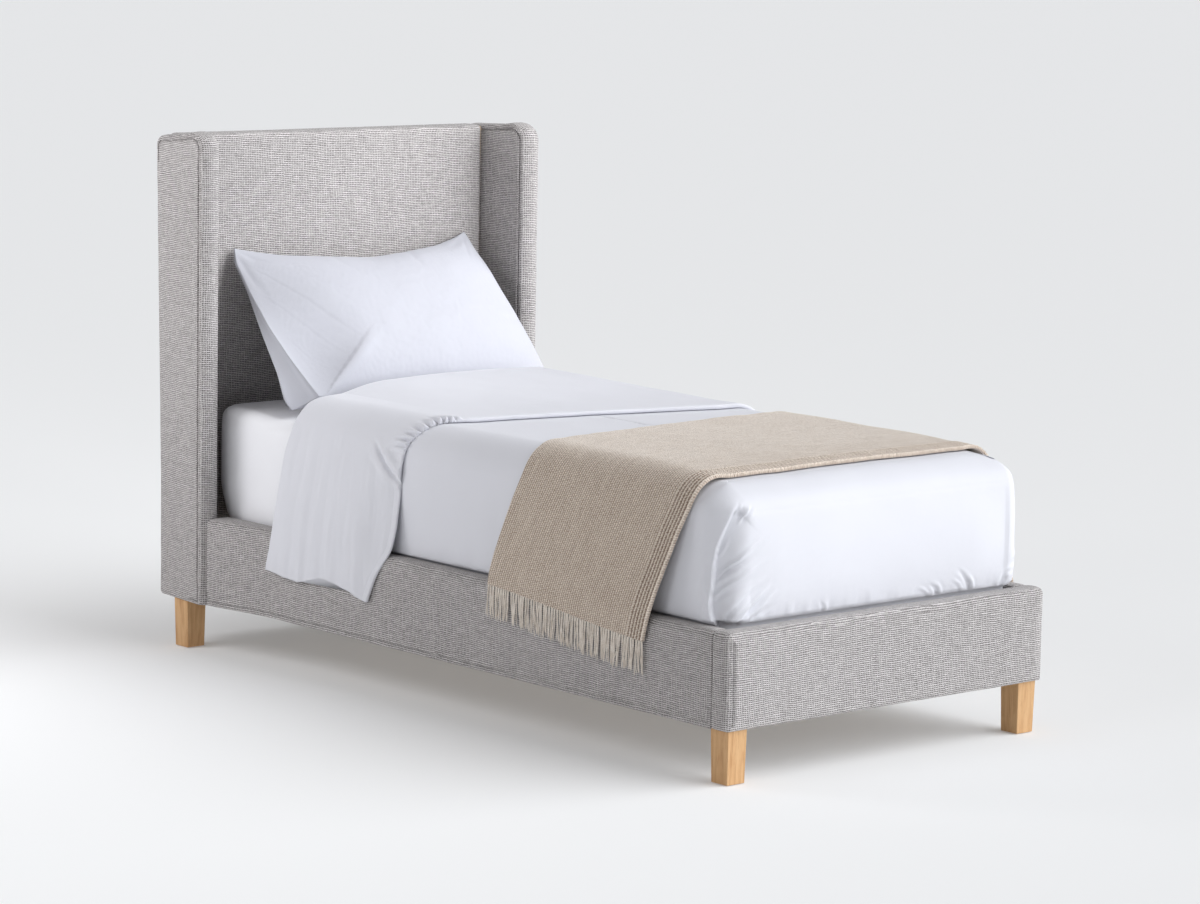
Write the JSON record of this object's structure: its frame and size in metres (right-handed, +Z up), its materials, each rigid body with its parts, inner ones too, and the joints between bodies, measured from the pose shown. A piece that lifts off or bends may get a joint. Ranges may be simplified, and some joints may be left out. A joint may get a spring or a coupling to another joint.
{
  "type": "upholstered bed",
  "caption": "Single bed with a winged, fabric-covered headboard, padded side rails and foot panel on square wood legs, with slats, mattress, sheet, duvet, pillow and fringed throw.",
  "frame": {"origin": "on the floor, under the middle of the plan", "axes": "+Z up; Y along the bed, +Y towards the headboard; X across the bed, +X to the right for someone looking from the foot to the headboard"},
  "size_m": [1.076, 2.145, 1.318],
  "materials": {
    "upholstery_fabric": "matte",
    "foam": "matte",
    "frame_timber": "matte",
    "leg_wood": "satin",
    "steel": "satin",
    "webbing": "matte",
    "glide_plastic": "matte",
    "mattress_ticking": "matte",
    "white_cotton": "matte",
    "duvet_cotton": "matte",
    "pillow_cotton": "matte",
    "throw_weave": "matte"
  },
  "bodies": {
    "frame": {"foot_cover": "upholstery_fabric", "headboard_cover": "upholstery_fabric", "headboard_back_cover": "upholstery_fabric", "left_wing_cover": "upholstery_fabric", "right_wing_cover": "upholstery_fabric", "left_rail_cover": "upholstery_fabric", "right_rail_cover": "upholstery_fabric", "left_rail_welt": "upholstery_fabric", "right_rail_welt": "upholstery_fabric", "foot_foam": "foam", "headboard_foam": "foam", "left_wing_foam": "foam", "right_wing_foam": "foam", "left_rail_foam": "foam", "right_rail_foam": "foam", "foot_board": "frame_timber", "headboard_board": "frame_timber", "headboard_stile_left": "frame_timber", "headboard_stile_right": "frame_timber", "headboard_batten_top": "frame_timber", "headboard_batten_middle": "frame_timber", "headboard_batten_bottom": "frame_timber", "left_wing_board": "frame_timber", "right_wing_board": "frame_timber", "left_rail_board": "frame_timber", "right_rail_board": "frame_timber", "slat_ledge_left": "frame_timber", "slat_ledge_right": "frame_timber", "head_cleats": "frame_timber", "slats": "frame_timber", "front_left_leg": "leg_wood", "front_right_leg": "leg_wood", "rear_left_leg": "leg_wood", "rear_right_leg": "leg_wood", "foot_corner_brackets": "steel", "head_joining_plates": "steel", "joining_bolts": "steel", "wing_bolts": "steel", "leg_hanger_bolts": "steel", "threaded_inserts": "steel", "ledge_screws": "steel", "slat_screws": "steel", "slat_straps": "webbing", "leg_glides": "glide_plastic"},
    "mattress_set": {"mattress": "mattress_ticking", "fitted_sheet": "white_cotton", "duvet": "duvet_cotton"},
    "throw": {"throw": "throw_weave", "throw_fringe_left": "throw_weave", "throw_fringe_right": "throw_weave"},
    "pillow": {"pillow": "pillow_cotton"}
  },
  "joints": [
    {"name": "mattress_lift", "type": "slide", "parent": "frame", "child": "mattress_set", "axis": [0, 0, 1], "range_m": [0, 1.15]},
    {"name": "throw_lift", "type": "slide", "parent": "mattress_set", "child": "throw", "axis": [0, 0, 1], "range_m": [0, 0.5]},
    {"name": "pillow_lift", "type": "slide", "parent": "mattress_set", "child": "pillow", "axis": [0, 0, 1], "range_m": [0, 0.72]}
  ]
}
